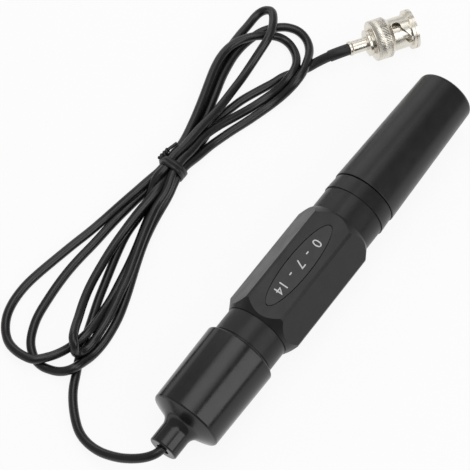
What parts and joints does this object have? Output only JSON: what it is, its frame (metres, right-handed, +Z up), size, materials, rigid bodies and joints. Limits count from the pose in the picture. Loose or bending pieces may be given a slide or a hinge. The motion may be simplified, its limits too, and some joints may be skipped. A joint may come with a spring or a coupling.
{
  "type": "ph electrode",
  "caption": "Black hand-held pH probe with a hexagonal grip, push-on protective cap, moulded cable boot and a tied coax lead that ends in a knurled bayonet plug.",
  "frame": {"origin": "on the floor, under the middle of the probe's length and width, without its cord", "axes": "+X along the probe from the cable boot to the cap, +Z up, with one facet of the grip facing up"},
  "size_m": [0.1909, 0.0912, 0.0254],
  "materials": {
    "boot_rubber": "smooth moulded rubber, half gloss",
    "grip_plastic": "fine-grained moulded plastic",
    "label_plastic": "satin",
    "barrel_plastic": "satin",
    "seal_rubber": "matt",
    "bulb_glass": "clear",
    "stopper_resin": "cast",
    "silver": "drawn wire",
    "junction_ceramic": "porous ceramic",
    "core_plastic": "extruded",
    "cap_plastic": "satin",
    "cable_jacket": "extruded, half gloss",
    "tie_plastic": "satin",
    "shrink_sleeve": "satin",
    "nickel": "nickel plated",
    "insulator_plastic": "turned",
    "pin_gold": "plated",
    "gasket_silicone": "matt"
  },
  "bodies": {
    "electrode": {"cable_boot": "boot_rubber", "grip_body": "grip_plastic", "label_plate": "label_plastic", "sensor_barrel": "barrel_plastic", "cap_seal": "seal_rubber", "glass_bulb": "bulb_glass", "barrel_stopper": "stopper_resin", "silver_wire": "silver", "reference_wire": "silver", "reference_junction": "junction_ceramic", "lead_core": "core_plastic", "cable_lead": "cable_jacket", "cable_hank": "cable_jacket", "hank_tie": "tie_plastic", "cable_tail": "cable_jacket", "inner_sleeve": "shrink_sleeve", "outer_sleeve": "shrink_sleeve", "crimp_ferrule": "nickel", "plug_body": "nickel", "plug_insulator": "insulator_plastic", "contact_pin": "pin_gold", "plug_gasket": "gasket_silicone", "spring_washer": "nickel"},
    "cap": {"protective_cap": "cap_plastic"},
    "coupling": {"coupling_sleeve": "nickel"}
  },
  "joints": [
    {"name": "cap_pull", "type": "slide", "parent": "electrode", "child": "cap", "axis": [1, 0, 0], "range_m": [0, 0.06]},
    {"name": "coupling_turn", "type": "hinge", "parent": "electrode", "child": "coupling", "pos_m": [0.0764, 0.0385, 0.0071], "axis": [0.8406, -0.5417, 0], "continuous": true}
  ]
}
